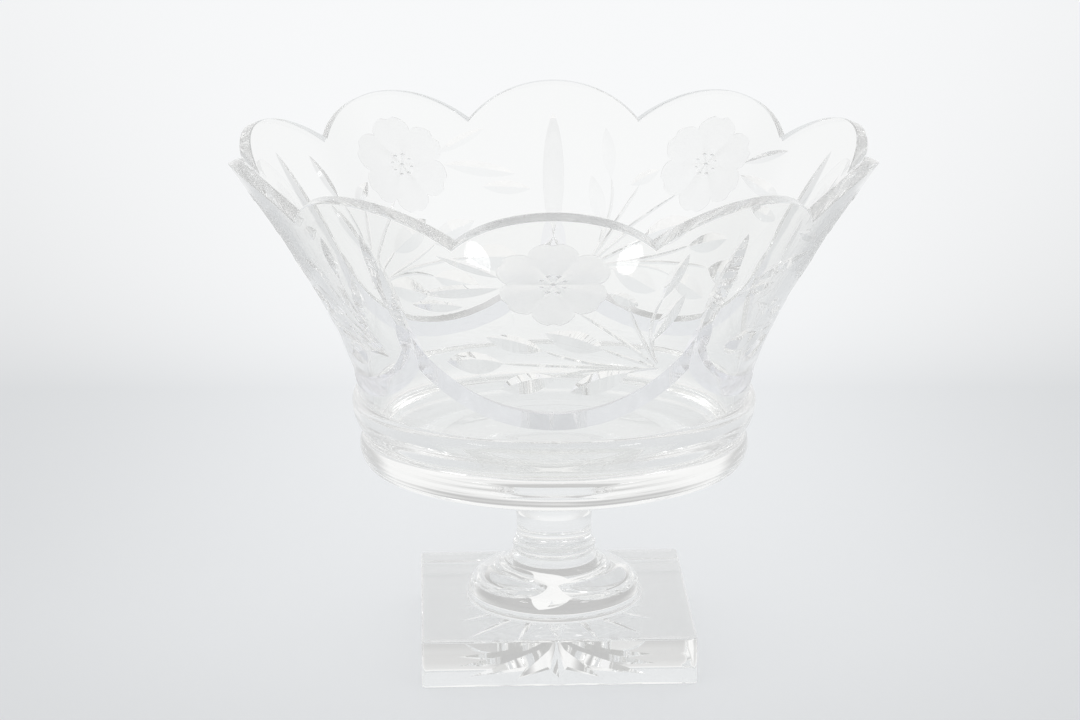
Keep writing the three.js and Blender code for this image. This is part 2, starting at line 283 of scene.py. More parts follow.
def rim_heights(wall, outer, degrees, b):
    """Height at which a wall's face meets the scallop's cut. The cut is a round arc pushed along the rim's tilted
    face: it holds the points where v = sqrt(R^2 - x^2) - R, with x across the scallop and v square to that face,
    both from the scallop's tip. The first height past the cut is found in a table, then set between two rows."""
    half = 180 / b.scallops
    tilt = math.radians(b.rim_tilt)
    tip = b.base + b.height
    notch = np.interp(tip - b.notch_drop, outer.heights, outer.radii)
    chord = notch * math.sin(math.radians(half))
    nearer = b.rim_radius - notch * math.cos(math.radians(half))
    depth = nearer * math.sin(tilt) + b.notch_drop * math.cos(tilt)
    arc_radius = (chord**2 + depth**2) / (2 * depth)
    local = np.radians((degrees + half) % (2 * half) - half)[:, None]
    x = wall.radii * np.sin(local)
    v = (wall.radii * np.cos(local) - b.rim_radius) * math.sin(tilt) + (wall.heights - tip) * math.cos(tilt)
    over = v - np.sqrt(np.maximum(arc_radius**2 - x**2, 0)) + arc_radius
    first = np.argmax(over >= 0, axis=1)
    row = np.arange(len(degrees))
    before, after = over[row, first - 1], over[row, first]
    part = before / (before - after)
    return wall.heights[first - 1] + part * (wall.heights[first] - wall.heights[first - 1])


# Meshes


def grid_faces(rows, columns):
    """Faces of a closed grid: quads between rows, the last column joined to the first, and a fan of triangles
    at each end to a pole, whose points come after the grid's. Returns them with the row that each starts on."""
    i, j = np.meshgrid(np.arange(rows - 1), np.arange(columns), indexing="ij")
    a = i * columns + j
    b = i * columns + (j + 1) % columns
    quads = np.stack([a, b, b + columns, a + columns], -1).reshape(-1, 4)
    j = np.arange(columns)
    k = (j + 1) % columns
    first_fan = np.stack([k, j, np.full(columns, rows * columns)], 1)
    top = (rows - 1) * columns
    last_fan = np.stack([top + j, top + k, np.full(columns, rows * columns + 1)], 1)
    fans = np.concatenate([first_fan, last_fan])
    starts = np.repeat([-1, rows - 1], columns)
    return quads, fans, np.concatenate([i.ravel(), starts])


def enclosed(points, quads, triangles):
    """Six times the volume that the faces enclose: the sum of a . (b x c) over their triangles."""
    parts = np.concatenate([quads[:, [0, 1, 2]], quads[:, [0, 2, 3]], triangles])
    a, b, c = (points[parts[:, k]] for k in range(3))
    return np.einsum("ij,ij->", a, np.cross(b, c))


def fill(mesh, points, quads, triangles, finishes):
    """Puts points (millimetres) and faces, with each face's material number, into a mesh, facing outwards."""
    if enclosed(points, quads, triangles) < 0:
        quads, triangles = quads[:, ::-1], triangles[:, ::-1]
    corners = np.concatenate([quads.ravel(), triangles.ravel()]).astype(np.int32)
    counts = np.repeat([4, 3], [len(quads), len(triangles)])
    starts = np.concatenate([[0], np.cumsum(counts)[:-1]]).astype(np.int32)
    mesh.vertices.add(len(points))
    mesh.vertices.foreach_set("co", (points * 0.001).astype(np.float32).ravel())
    mesh.loops.add(len(corners))
    mesh.loops.foreach_set("vertex_index", corners)
    mesh.polygons.add(len(counts))
    mesh.polygons.foreach_set("loop_start", starts)
    mesh.polygons.foreach_set("material_index", np.asarray(finishes, np.int32))
    mesh.update(calc_edges=True)
    if mesh.validate():
        raise RuntimeError(f"{mesh.name} has faulty faces")


def closed_piece(name, rows, first_pole, last_pole, materials, finish_of_row):
    """An object from a (rows, columns, 3) grid closed by two poles on the axis, given by their heights.
    finish_of_row gives a material number for the band that starts at each row, with -1 for the first fan."""
    quads, fans, starts = grid_faces(*rows.shape[:2])
    points = np.concatenate([rows.reshape(-1, 3), [(0, 0, first_pole), (0, 0, last_pole)]])
    mesh = bpy.data.meshes.new(name)
    fill(mesh, points, quads, fans, finish_of_row(starts))
    for material in materials:
        mesh.materials.append(material)
    piece = bpy.data.objects.new(name, mesh)
    bpy.context.scene.collection.objects.link(piece)
    return piece


def crease(mesh, steep):
    """Smooth shading, with an edge kept sharp where its two faces turn by more than steep degrees, or where they
    have different materials."""
    edge = np.empty(len(mesh.loops), np.int32)
    mesh.loops.foreach_get("edge_index", edge)
    if np.any(np.bincount(edge, minlength=len(mesh.edges)) != 2):
        raise RuntimeError(f"{mesh.name} isn't closed")
    sides = np.empty(len(mesh.polygons), np.int32)
    mesh.polygons.foreach_get("loop_total", sides)
    face = np.repeat(np.arange(len(sides)), sides)
    one, other = face[np.argsort(edge, kind="stable")].reshape(-1, 2).T
    normals = np.empty(len(sides) * 3, np.float32)
    mesh.polygons.foreach_get("normal", normals)
    normals = normals.reshape(-1, 3)
    finish = np.empty(len(sides), np.int32)
    mesh.polygons.foreach_get("material_index", finish)
    cosine = np.einsum("ij,ij->i", normals[one], normals[other])
    sharp = (cosine < math.cos(math.radians(steep))) | (finish[one] != finish[other])
    mesh.shade_smooth()
    mesh.attributes.new("sharp_edge", "BOOLEAN", "EDGE").data.foreach_set("value", sharp)
    mesh.update()


def dress(piece, slot, *nodes):
    """Makes a finished piece stand for its CAD nodes: hangs it under the root body and hides those nodes. slot is not
    used.
    """
    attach(piece, "root")
    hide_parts(*nodes)


def turned_piece(name, profile, sides, bonded_low, bonded_high, materials):
    """A turned piece: a profile of (radius, height) carried round the axis and closed by flat ends. The flat
    ends within the bonded radii are joint faces. Where an end is wider, a row of points lies on the joint's edge."""
    low, high = profile[0, 1], profile[-1, 1]
    tolerance, steep = 0.01, 24
    if bonded_low < profile[0, 0] - tolerance:
        profile = np.concatenate([[[bonded_low, low]], profile])
    if bonded_high < profile[-1, 0] - tolerance:
        profile = np.concatenate([profile, [[bonded_high, high]]])
    degrees = np.arange(sides) * 360 / sides
    rows = round_axis(profile[:, :1], degrees[None, :], profile[:, 1:])
    last = len(profile) - 1

    def finish(starts):
        """1, the joint face, for the two fans."""
        return np.where((starts == -1) | (starts == last), 1, 0)

    piece = closed_piece(name, rows, low, high, materials, finish)
    crease(piece.data, steep)
    return piece


# Cuts in the bowl's wall


def mitre(wall, path, upper, lower, depth, shape, proud=0.8):
    """The space that a V-edged wheel grinds away along a path of (degrees, height) on the wall. Across the path
    the section is a triangle: the keel lies depth under the wall, and the two sides rise through it, upper and
    lower millimetres away, to stand proud of it by a share of the depth. shape scales the section from point
    to point, 0 at both ends."""
    degrees, height = path.T
    radius, _, normal_z = wall.at(height)
    rise = np.sqrt(1 - normal_z**2)
    across = np.gradient(np.radians(degrees)) * radius
    upward = np.gradient(height) / rise
    run = np.hypot(across, upward)
    side_degrees = -np.degrees(upward / run / radius)
    side_height = across / run * rise
    offsets = np.array([0, upper * (1 + proud), -lower * (1 + proud)])
    outs = np.array([-depth, depth * proud, depth * proud])
    scale = shape[:, None]
    section = wall.place(
        degrees[:, None] + side_degrees[:, None] * offsets * scale,
        height[:, None] + side_height[:, None] * offsets * scale,
        outs * scale,
    )
    ends = wall.place(degrees[[0, -1]], height[[0, -1]], np.zeros(2))
    return section[1:-1], ends[0], ends[1]


def lens(count, fullness=1.0):
    """Width of a leaf-shaped cut along its length: (1 - a^2) raised to fullness, with a from -1 to 1."""
    a = np.linspace(-1, 1, count)
    return np.maximum(1 - a**2, 0) ** fullness


def leaf(wall, tip, base, half_width, c):
    """A leaf: two flat facets that meet in a keel from the tip to the base."""
    path = np.linspace(tip, base, 26)
    return mitre(wall, path, half_width, half_width, half_width * c.leaf_steepness, lens(26))


def stalk(wall, start, bend, end, c):
    """A fine engraved stem, drawn from start past a bend to its end, with its depth a share of its half width."""
    path, steepness = bezier([start, bend, end], 22), 0.55
    return mitre(wall, path, c.stem_width, c.stem_width, c.stem_width * steepness, lens(22, 0.35))


def spear(wall, c):
    """An upright spear between two panels, broad in the middle and pointed at both ends."""
    edge = 180 / c.panels
    path = np.linspace((edge, c.spear_low), (edge, c.spear_high), 40)
    return mitre(wall, path, c.spear_half, c.spear_half, c.spear_depth, lens(40, 0.75), proud=0.4)


def swag(wall, c):
    """The swag under a panel: half an ellipse of degrees and height, (sin t, -cos t), with a steep facet inside it
    and a wide one outside, drawn out to nothing over the last 16 degrees of t, where the arms stand upright."""
    t = np.linspace(-90, 90, 110)
    a, drawn_out = np.radians(t), 16
    path = np.stack([c.swag_half_angle * np.sin(a), c.swag_top - c.swag_drop * np.cos(a)], 1)
    shape = np.clip((90 - np.abs(t)) / drawn_out, 0, 1) ** 0.6
    return mitre(wall, path, c.swag_upper, c.swag_lower, c.swag_depth, shape, proud=0.6)


def flower(wall, centre, outline, c):
    """The matt flower: a shallow pocket with one hollow for each petal. In polar form about its middle, the
    outline is given at each angle a. At a share s of the way to it the floor lies |cos 3a| x sin(pi s^0.8)^0.8 of
    the way from the edge's depth to the petal's, so it rises between the petals and to their ends."""
    degrees, height = centre
    radius, _, normal_z = wall.at(height)
    rise = math.sqrt(1 - normal_z**2)
    turn = np.radians(np.arange(len(outline)) * 360 / len(outline))
    share = np.array([0.08, 0.16, 0.26, 0.38, 0.5, 0.62, 0.74, 0.84, 0.92, 0.97, 1.0])
    petal = np.abs(np.cos(3 * (turn - math.pi / 2)))
    edge_depth, middle_depth, proud = 0.22, 0.25, 0.9
    hollow = petal[None, :] * np.sin(math.pi * share[:, None] ** 0.8) ** 0.8
    floor = edge_depth + (c.petal_depth - edge_depth) * hollow
    above = np.array([1.0, 0.8, 0.6, 0.4, 0.2])
    reach = np.concatenate([share, above])[:, None] * outline[None, :]
    out = np.concatenate([-floor, np.full((len(above), len(outline)), proud)])
    place_degrees = degrees + np.degrees(reach * np.cos(turn) / radius)
    place_height = height + reach * np.sin(turn) * rise
    poles = wall.place(np.array([degrees] * 2), np.array([height] * 2), np.array([-middle_depth, proud]))
    return wall.place(place_degrees, place_height, out), poles[0], poles[1]


def petal_outline(count):
    """Radius of the flower at each angle round its middle, in millimetres: 16.2 between the petals and 5 more at
    their ends, as |cos 3a| to the power 0.6, less a notch of 1.2 in each end."""
    a = np.radians(np.arange(count) * 360 / count)
    lobe = np.abs(np.cos(3 * (a - math.pi / 2)))
    notch = np.clip((lobe - 0.94) / 0.06, 0, 1)
    return 16.2 + 5.0 * lobe**0.6 - 1.2 * notch


def stamens(wall, centre):
    """Small polished olives in the middle of the flower, 2.6 mm long and 2 mm wide: one in the middle and a ring
    of eight round it."""
    degrees, height = centre
    radius, _, normal_z = wall.at(height)
    rise = math.sqrt(1 - normal_z**2)
    ring, around, half_long, half_wide, depth = 4.4, 8, 1.3, 1.0, 0.75
    cuts = []
    for k in range(around + 1):
        reach = 0 if k == around else ring
        a = math.radians(360 / around * k + 20)
        x, y = reach * math.cos(a), reach * math.sin(a)
        middle = np.array([degrees + math.degrees(x / radius), height + y * rise])
        half = np.array([math.degrees(half_long / radius), 0])
        path = np.linspace(middle - half, middle + half, 12)
        cuts.append(mitre(wall, path, half_wide, half_wide, depth, lens(12, 0.7)))
    return cuts


# Engraved spray of one panel. A point is (degrees from the panel's middle, millimetres above the table). A leaf has
# its tip, its base and half its width, a stem its start, its bend and its end.
LEAVES = [
    ((-21.3, 182.0), (-10.0, 174.2), 2.3),
    ((-27.3, 164.6), (-10.4, 169.8), 3.3),
    ((-30.6, 159.0), (-18.7, 160.6), 3.0),
    ((-15.2, 148.1), (-2.5, 143.0), 4.3),
    ((-2.0, 150.8), (11.5, 142.8), 5.2),
    ((-26.6, 135.5), (-12.0, 136.9), 5.6),
    ((-13.7, 125.8), (0.3, 131.5), 4.8),
    ((4.0, 125.2), (18.7, 132.1), 5.4),
    ((24.8, 182.0), (22.3, 163.1), 2.8),
    ((27.2, 164.5), (23.1, 145.5), 3.2),
    ((10.9, 167.6), (17.3, 161.1), 2.8),
]
JOINT_OF_STEMS = (26.5, 132.3)
STEMS = [
    ((5.0, 159.4), (15.0, 147.0), (25.5, 133.4)),
    ((15.2, 161.2), (18.6, 148.0), (25.8, 134.0)),
    ((22.3, 163.4), (19.6, 150.0), (25.2, 135.0)),
    ((23.1, 146.0), (22.6, 140.0), (26.0, 134.6)),
    ((-2.6, 143.2), (7.0, 136.2), JOINT_OF_STEMS),
    ((11.4, 143.0), (18.5, 137.6), JOINT_OF_STEMS),
    ((-12.2, 136.8), (8.0, 136.9), JOINT_OF_STEMS),
    ((0.2, 131.6), (9.0, 136.4), JOINT_OF_STEMS),
    ((18.5, 132.0), (22.5, 133.6), JOINT_OF_STEMS),
]
FLOWER_CENTRE = (-0.1, 171.6)


# Materials


def add(tree, kind, inputs=(), **settings):
    """Adds a node and sets its properties, or, under an input's name with spaces as underscores, that input.
    inputs holds (input, value), or (input, node, output) for a link from that node's output."""
    node = tree.nodes.new(kind)
    for key, value in settings.items():
        name = key.replace("_", " ")
        if name in node.inputs:
            node.inputs[name].default_value = value
        else:
            setattr(node, key, value)
    for socket, source, *output in inputs:
        if output:
            tree.links.new(source.outputs[output[0]], node.inputs[socket])
        else:
            node.inputs[socket].default_value = source
    return node


def new_material(name):
    """A material with an empty node tree and its output."""
    material = bpy.data.materials.new(name)
    material.use_nodes = True
    material.node_tree.nodes.clear()
    return material, material.node_tree


def glass(name, roughness, waves, grain=None, tint=None, marks=None):
    """Clear lead crystal. waves is a list of (millimetres from crest to crest, height in millimetres, stretch of
    the pattern in x, y, z): the slow unevenness of the surface. grain is one such entry for a ground surface, tint
    a colour other than the clear glass's, and marks (millimetres apart, height) level lines left by turning."""
    look = bpy.context.scene.bowl_glass
    material, tree = new_material(name)
    place = add(tree, "ShaderNodeTexCoord")
    normal = None
    for crest, height, stretch in waves + ([grain] if grain else []):
        spread = add(tree, "ShaderNodeMapping", [("Vector", place, "Object")], Scale=stretch)
        even = {"Scale": 1000 / crest, "Detail": 1.0, "Roughness": 0.4}
        pattern = add(tree, "ShaderNodeTexNoise", [("Vector", spread, "Vector")], **even)
        inputs = [("Height", pattern, "Fac")] + ([("Normal", normal, "Normal")] if normal else [])
        normal = add(tree, "ShaderNodeBump", inputs, Strength=1.0, Distance=height / 1000)
    if marks:
        apart, height = marks
        # The node draws a wave every 2 pi / 20 of a unit.
        level = {"bands_direction": "Z", "Scale": 2 * math.pi / 20 / (apart / 1000)}
        unsteady = {"Distortion": 1.2, "Detail": 1.0, "Detail_Scale": 0.3}
        lines = add(tree, "ShaderNodeTexWave", [("Vector", place, "Object")], **level, **unsteady)
        inputs = [("Height", lines, "Fac"), ("Normal", normal, "Normal")]
        normal = add(tree, "ShaderNodeBump", inputs, Strength=1.0, Distance=height / 1000)
    shader = add(
        tree,
        "ShaderNodeBsdfPrincipled",
        [("Normal", normal, "Normal")],
        Base_Color=(*(tint or look.tint), 1),
        Roughness=roughness,
        IOR=look.index,
        Transmission_Weight=1.0,
    )
    add(tree, "ShaderNodeOutputMaterial", [("Surface", shader, "BSDF")])
    return material


def bonded_face():
    """Joint face inside the fused glass: nothing shows there, so light goes straight through."""
    material, tree = new_material("fused_joint_face")
    shader = add(tree, "ShaderNodeBsdfTransparent", Color=(1, 1, 1, 1))
    add(tree, "ShaderNodeOutputMaterial", [("Surface", shader, "BSDF")])
    return material


# Operators


# Order of the bowl's materials
CLEAR, CUT, MATT, JOINT, RIM, RING, BAND = range(7)


class CUTGLASS_OT_bowl(bpy.types.Operator):
    """Builds the scalloped bowl and grinds its cuts and engraving into it"""

    bl_idname = "cutglass.bowl"
    bl_label = "Add bowl"

    def execute(self, context):
        b, c = sizes("bowl_blank"), sizes("bowl_cuts")
        look = context.scene.bowl_glass
        outer, inner = walls(b)
        # Blown crystal, turned and smoothed: slow waves of a hand's movement, nothing fine.
        wall = glass("blown_lead_crystal", 0.0, [(38, 0.10, (1, 1, 0.6)), (14, 0.012, (1, 1, 1))])
        # Cut with a V-edged wheel and polished in acid, which rounds it a little and leaves faint ripples.
        cut = glass("wheel_cut_acid_polished_crystal", 0.012, [(6, 0.012, (1, 1, 1))])
        # Ground with a fine stone wheel and left matt; the 0.1 mm grit is drawn three times as coarse to show.
        matt = glass("stone_matted_crystal", look.matt, [(9, 0.02, (1, 1, 1))], grain=(0.35, 0.012, (1, 1, 1)))
        # Ground flat, then polished on felt, which leaves it softer; the shade greyer than the wall is painted shade
        # in its tint.
        rim = glass("ground_felt_polished_crystal_painted_shade", 0.15, [(8, 0.01, (1, 1, 1))], tint=tuple(look.rim_painted_shade))
        # Turned on the wheel: fine level marks run round the ring, 2.3 mm apart.
        ring = glass("turned_ring_crystal", 0.0, [(14, 0.012, (1, 1, 1))], marks=(2.3, 0.06))
        # The swag's wide facet is smoothed with a fine stone but polished less, so it stays soft; its greyish band is
        # painted shade in the facet's tint.
        band = glass("smoothed_cut_crystal_painted_shade", 0.09, [(9, 0.01, (1, 1, 1))], tint=tuple(look.band_painted_shade))
        materials = [wall, cut, matt, bonded_face(), rim, ring, band]
        rows, first_rim, first_turned, last_turned = bowl_surface(outer, inner, b)

        def finish(starts):
            """Material number of the band that starts at each row: clear wall, joint, rim or turned ring."""
            number = np.where(starts == -1, JOINT, CLEAR)
            number[starts == first_rim] = RIM
            number[(starts >= first_turned) & (starts < last_turned)] = RING
            return number

        piece = closed_piece("cut_bowl", rows, b.base, b.base + b.floor, materials, finish)
        grind(piece, [swag(outer, c)], BAND, c.panels, together=False)
        grind(piece, [flower(outer, FLOWER_CENTRE, petal_outline(144), c)], MATT, c.panels)
        engraved = [leaf(outer, *sizes_of_leaf, c) for sizes_of_leaf in LEAVES]
        engraved += [stalk(outer, *points, c) for points in STEMS]
        grind(piece, [spear(outer, c), *engraved, *stamens(outer, FLOWER_CENTRE)], CUT, c.panels)
        drop_slivers(piece.data)
        crease(piece.data, 12)
        dress(piece, "bowl_glass", "bowl")
        return {"FINISHED"}


def bowl_surface(outer, inner, b):
    """Rows of the bowl's surface from the joint outwards, up the wall, over the rim and down to the inside floor.
    Up to the wall and inside it, each row is a circle of a profile in (radius, height). On the wall it lies an equal
    share of the way up to the scallops in every column. Also gives the numbers of the row where the unpolished part
    of the rim's face starts, and of those where the turned ring starts and ends."""
    degrees = np.arange(b.columns) * 360 / b.columns
    # In section, from below: a half-round ring, a hollow rise out of it, and a rounded shoulder under the wall.
    lower_middle, upper_middle = b.base + 19.5, b.base + UPPER_RING
    lower_ring = arc((72.0, lower_middle), (3.3, 6.0), -55, 78, 26)
    underside = bezier([(b.joint_radius, b.base), (48, b.base + 3.4), lower_ring[0]], 24)
    ring_hollow = arc((71.0, upper_middle), (7.1, 11.4), -74, 0, 15)
    ring_shoulder = arc((74.4, upper_middle), (3.7, SHOULDER), 0, 75, 14)
    profile = np.concatenate([underside, lower_ring[1:], ring_hollow, ring_shoulder[1:]])
    below = np.broadcast_to(profile[:, :, None], (*profile.shape, b.columns))

    rim_outer, rim_inner = rim_heights(outer, outer, degrees, b), rim_heights(inner, outer, degrees, b)
    foot = outer.heights[0]
    chamfer = b.softened * math.cos(math.radians(b.flare))
    outer_z = foot + (rim_outer - chamfer - foot) * np.linspace(0, 1, 46)[:, None]
    across = np.array([b.softened, b.polished_edge, b.rim_thickness - b.softened])[:, None] / b.rim_thickness
    edge_outer, edge_inner = outer.at(rim_outer)[0], inner.at(rim_inner)[0]
    face_r = edge_outer + (edge_inner - edge_outer) * across
    face_z = rim_outer + (rim_inner - rim_outer) * across
    inner_z = rim_inner - chamfer + (foot - (rim_inner - chamfer)) * np.linspace(0, 1, 26)[:, None]

    bend = 24
    corner = arc((inner.radii[0] - bend, foot), (bend, foot - b.base - b.floor + 1), 0, -90, 20)[1:]
    floor_r = corner[-1, 0] * np.linspace(0.9, 0.1, 7)
    floor = np.stack([floor_r, b.base + b.floor - (floor_r / corner[-1, 0]) ** 2], 1)
    inside = np.concatenate([corner, floor])
    inside = np.broadcast_to(inside[:, :, None], (*inside.shape, b.columns))

    radii = np.concatenate([below[:, 0], outer.at(outer_z)[0], face_r, inner.at(inner_z)[0], inside[:, 0]])
    heights = np.concatenate([below[:, 1], outer_z, face_z, inner_z, inside[:, 1]])
    rows = round_axis(radii, degrees[None, :], heights)
    return rows, len(profile) + len(outer_z) + 1, len(underside) - 3, len(underside) + len(lower_ring) - 2


def grind(piece, cuts, finish, panels, together=True):
    """Takes each cut away from the piece, once for every panel, and leaves faces with the material number finish.
    A cut's closed grid is turned by equal steps round the axis. The copies form one mesh, or, where neighbours
    would overlap, are subtracted one by one."""
    turns = np.radians(np.arange(panels) * 360 / panels)
    wheels = []
    for grid in cuts:
        for group in [turns] if together else turns[:, None]:
            wheels.append(wheel_mark(piece, grid, group, finish))
    for wheel in wheels:
        subtract = piece.modifiers.new(wheel.name, "BOOLEAN")
        subtract.operation = "DIFFERENCE"
        subtract.solver = "MANIFOLD"
        subtract.object = wheel
    bpy.context.view_layer.update()
    seen = piece.evaluated_get(bpy.context.evaluated_depsgraph_get())
    ground = bpy.data.meshes.new_from_object(seen)
    piece.modifiers.clear()
    blank = piece.data
    piece.data = ground
    bpy.data.meshes.remove(blank)
    ground.name = piece.name
    for wheel in wheels:
        mesh = wheel.data
        bpy.data.objects.remove(wheel)
        bpy.data.meshes.remove(mesh)
    if len(ground.polygons) < 1000:
        raise RuntimeError("the cuts left nothing of the bowl")


def drop_slivers(mesh):
    """Takes out the edges and faces under 0.02 mm wide that the cuts leave where two of them cross, and the points
    that lie between two edges on as good as a straight line."""
    width = 2e-5
    shape = bmesh.new()
    shape.from_mesh(mesh)
    bmesh.ops.remove_doubles(shape, verts=shape.verts, dist=width)
    bmesh.ops.dissolve_degenerate(shape, dist=width, edges=shape.edges)
    shape.to_mesh(mesh)
    shape.verts.ensure_lookup_table()
    bmesh.ops.dissolve_verts(shape, verts=[shape.verts[k] for k in straight_points(mesh, width)])
    shape.to_mesh(mesh)
    shape.free()


def straight_points(mesh, width):
    """Numbers of the points that only two edges share and that lie less than width off the line between the far
    ends: |(p - a) x (b - a)| < width |b - a|."""
    place = np.empty(len(mesh.vertices) * 3, np.float32)
    mesh.vertices.foreach_get("co", place)
    place = place.reshape(-1, 3).astype(float)
    ends = np.empty(len(mesh.edges) * 2, np.int32)
    mesh.edges.foreach_get("vertices", ends)
    shared = np.bincount(ends)
    far = ends.reshape(-1, 2)[:, ::-1].ravel()[np.argsort(ends, kind="stable")]
    point = np.flatnonzero(shared == 2)
    first = (np.cumsum(shared) - shared)[point]
    a, b = place[far[first]], place[far[first + 1]]
    off = np.linalg.norm(np.cross(place[point] - a, b - a), axis=1)
    return point[off < width * np.linalg.norm(b - a, axis=1)]


def wheel_mark(piece, grid, turns, finish):
    """The space of one cut, as an object: its closed grid, copied at each of the turns (radians) round the axis."""
    rows, start, end = grid
    quads, fans, _ = grid_faces(*rows.shape[:2])
    x, y, z = np.concatenate([rows.reshape(-1, 3), [start], [end]]).T
    points = np.stack(
        [
            np.outer(np.cos(turns), x) - np.outer(np.sin(turns), y),
            np.outer(np.sin(turns), x) + np.outer(np.cos(turns), y),
            np.broadcast_to(z, (len(turns), len(z))),
        ],
        -1,
    ).reshape(-1, 3)
    step = (np.arange(len(turns)) * len(z))[:, None, None]
    quads, fans = (quads[None] + step).reshape(-1, 4), (fans[None] + step).reshape(-1, 3)
    mesh = bpy.data.meshes.new("wheel_mark")
    fill(mesh, points, quads, fans, np.full(len(quads) + len(fans), finish))
    for material in piece.data.materials:
        mesh.materials.append(material)
    wheel = bpy.data.objects.new("wheel_mark", mesh)
    bpy.context.scene.collection.objects.link(wheel)
    return wheel


class CUTGLASS_OT_foot(bpy.types.Operator):
    """Builds the domed foot, the stem and the two wafers that join them"""

    bl_idname = "cutglass.foot"
    bl_label = "Add foot and stem"

    def execute(self, context):
        f = sizes("bowl_foot")
        # Gathered and shaped hot, then fire-polished: mirror smooth, with long slow rings from turning.
        hot = glass("fire_polished_lead_crystal", 0.0, [(16, 0.03, (1, 1, 1.8))])
        materials = [hot, bonded_face()]
        sides = 256
        joint = f.stem_radius
        z0, z1 = f.base, f.base + f.foot_height
        z2, z3 = z1 + f.lower_height, z1 + f.lower_height + f.stem_height
        z4 = z3 + f.upper_height
        lip_top = z0 + f.lip
        inner = f.radius - f.edge
        shoulder = (inner - f.step, lip_top)
        # The dome rises nearly upright from the lip and bends in, and from the turn a hollow sweep goes to the neck.
        turn = (25.4, z0 + 12.3)
        dome = bezier([shoulder, (34, z0 + 7.4), (30.6, z0 + 10.7), turn], 26)
        sweep = bezier([turn, (20, z0 + 14), (17.4, z0 + 15.8), (f.neck, z1)], 26)
        lip_low = arc((inner, z0 + f.edge), (f.edge, f.edge), -90, 0, 7)
        lip_high = arc((inner, lip_top - f.edge), (f.edge, f.edge), 0, 90, 7)
        foot = np.concatenate([lip_low, lip_high, dome, sweep[1:]])
        collar = bezier([(joint, z1), (joint + 2.3 * f.collar, z1 + 1.4), (joint + 0.2, z2 - 0.6), (joint, z2)], 22)
        stem = bulge(joint, joint, f.waist - joint, z2, z3)
        upper_joint = sizes("bowl_blank").joint_radius
        upper = bulge(joint, upper_joint, f.bead, z3, z4)
        pieces = [
            ("domed_foot_glass", foot, inner, joint, "foot_glass", "domed_foot"),
            ("lower_wafer_glass", collar, joint, joint, "wafer_glass", "lower_wafer"),
            ("stem_glass", stem, joint, joint, "stem_glass", "stem"),
            ("upper_wafer_glass", upper, joint, upper_joint, "wafer_glass", "upper_wafer"),
        ]
        for name, profile, low, high, slot, node in pieces:
            piece = turned_piece(name, profile, sides, low, high, materials)
            dress(piece, slot, node)
        return {"FINISHED"}


def bulge(low_radius, high_radius, bead, low, high):
    """Side of a wafer or a stem: a curve from one radius to the other that swells by bead halfway, or draws in
    where bead is negative."""
    widest = max(low_radius, high_radius) if bead > 0 else low_radius
    return bezier([(low_radius, low), (widest + 2 * bead, (low + high) / 2), (high_radius, high)], 22)


# Degrees from one ray of the star to the next
STAR_STEP = 22.5


class CUTGLASS_OT_plinth(bpy.types.Operator):
    """Builds the thick square plinth with the star cut into its underside"""

    bl_idname = "cutglass.plinth"
    bl_label = "Add plinth"

    def execute(self, context):
        p, f = sizes("bowl_plinth"), sizes("bowl_foot")
        # Pressed block, ground flat and polished: large flat waves, and a faint haze of wear.
        block = glass("pressed_polished_crystal", 0.0, [(45, 0.05, (1, 1, 1)), (9, 0.004, (1, 1, 1))])
        star = glass("star_cut_crystal", 0.01, [(7, 0.01, (1, 1, 1))])
        materials = [block, star, bonded_face()]
        outline, degrees = plinth_outline(p)
        joint = f.radius - f.edge
        a = np.radians(degrees)
        outward = np.stack([np.cos(a), np.sin(a)], 1)
        circle = joint * outward
        tip = star_edge(degrees, p)[:, None] * outward
        flat = outline - p.edge * edge_normal(outline, p)
        star_rows, bends = 8, np.radians(np.linspace(0, 90, 6))
        rounding = [(flat + (outline - flat) * math.sin(q), p.edge * (1 - math.cos(q))) for q in bends]
        # From the middle of the star outwards, over the flat underside, up the side, and in over the top to the foot.
        levels = [(tip * s, p.star_depth * (1 - s)) for s in np.linspace(0.1, 1, star_rows)]
        levels += [(tip + (flat - tip) * s, 0) for s in np.linspace(0, 1, 7)[1:]]
        levels += rounding[1:]
        levels += [(outline, z) for z in np.linspace(p.edge, p.height - p.edge, 7)[1:]]
        levels += [(points, p.height - z) for points, z in rounding[-2::-1]]
        levels += [(flat + (circle - flat) * s, p.height) for s in np.linspace(0, 1, 7)[1:]]
        rows = np.array([np.column_stack([points, np.full(len(points), z)]) for points, z in levels])
        turn = math.radians(p.turn)
        x, y = rows[..., 0].copy(), rows[..., 1].copy()
        rows[..., 0] = x * math.cos(turn) - y * math.sin(turn)
        rows[..., 1] = x * math.sin(turn) + y * math.cos(turn)
        last = len(rows) - 1

        def finish(starts):
            """Material number of the band that starts at each row: plain block, star or joint."""
            return np.where(starts == last, 2, np.where(starts < star_rows - 1, 1, 0))

        piece = closed_piece("star_cut_plinth", rows, p.star_depth, p.height, materials, finish)
        crease(piece.data, 12)
        dress(piece, "plinth_glass", "square_plinth")
        return {"FINISHED"}


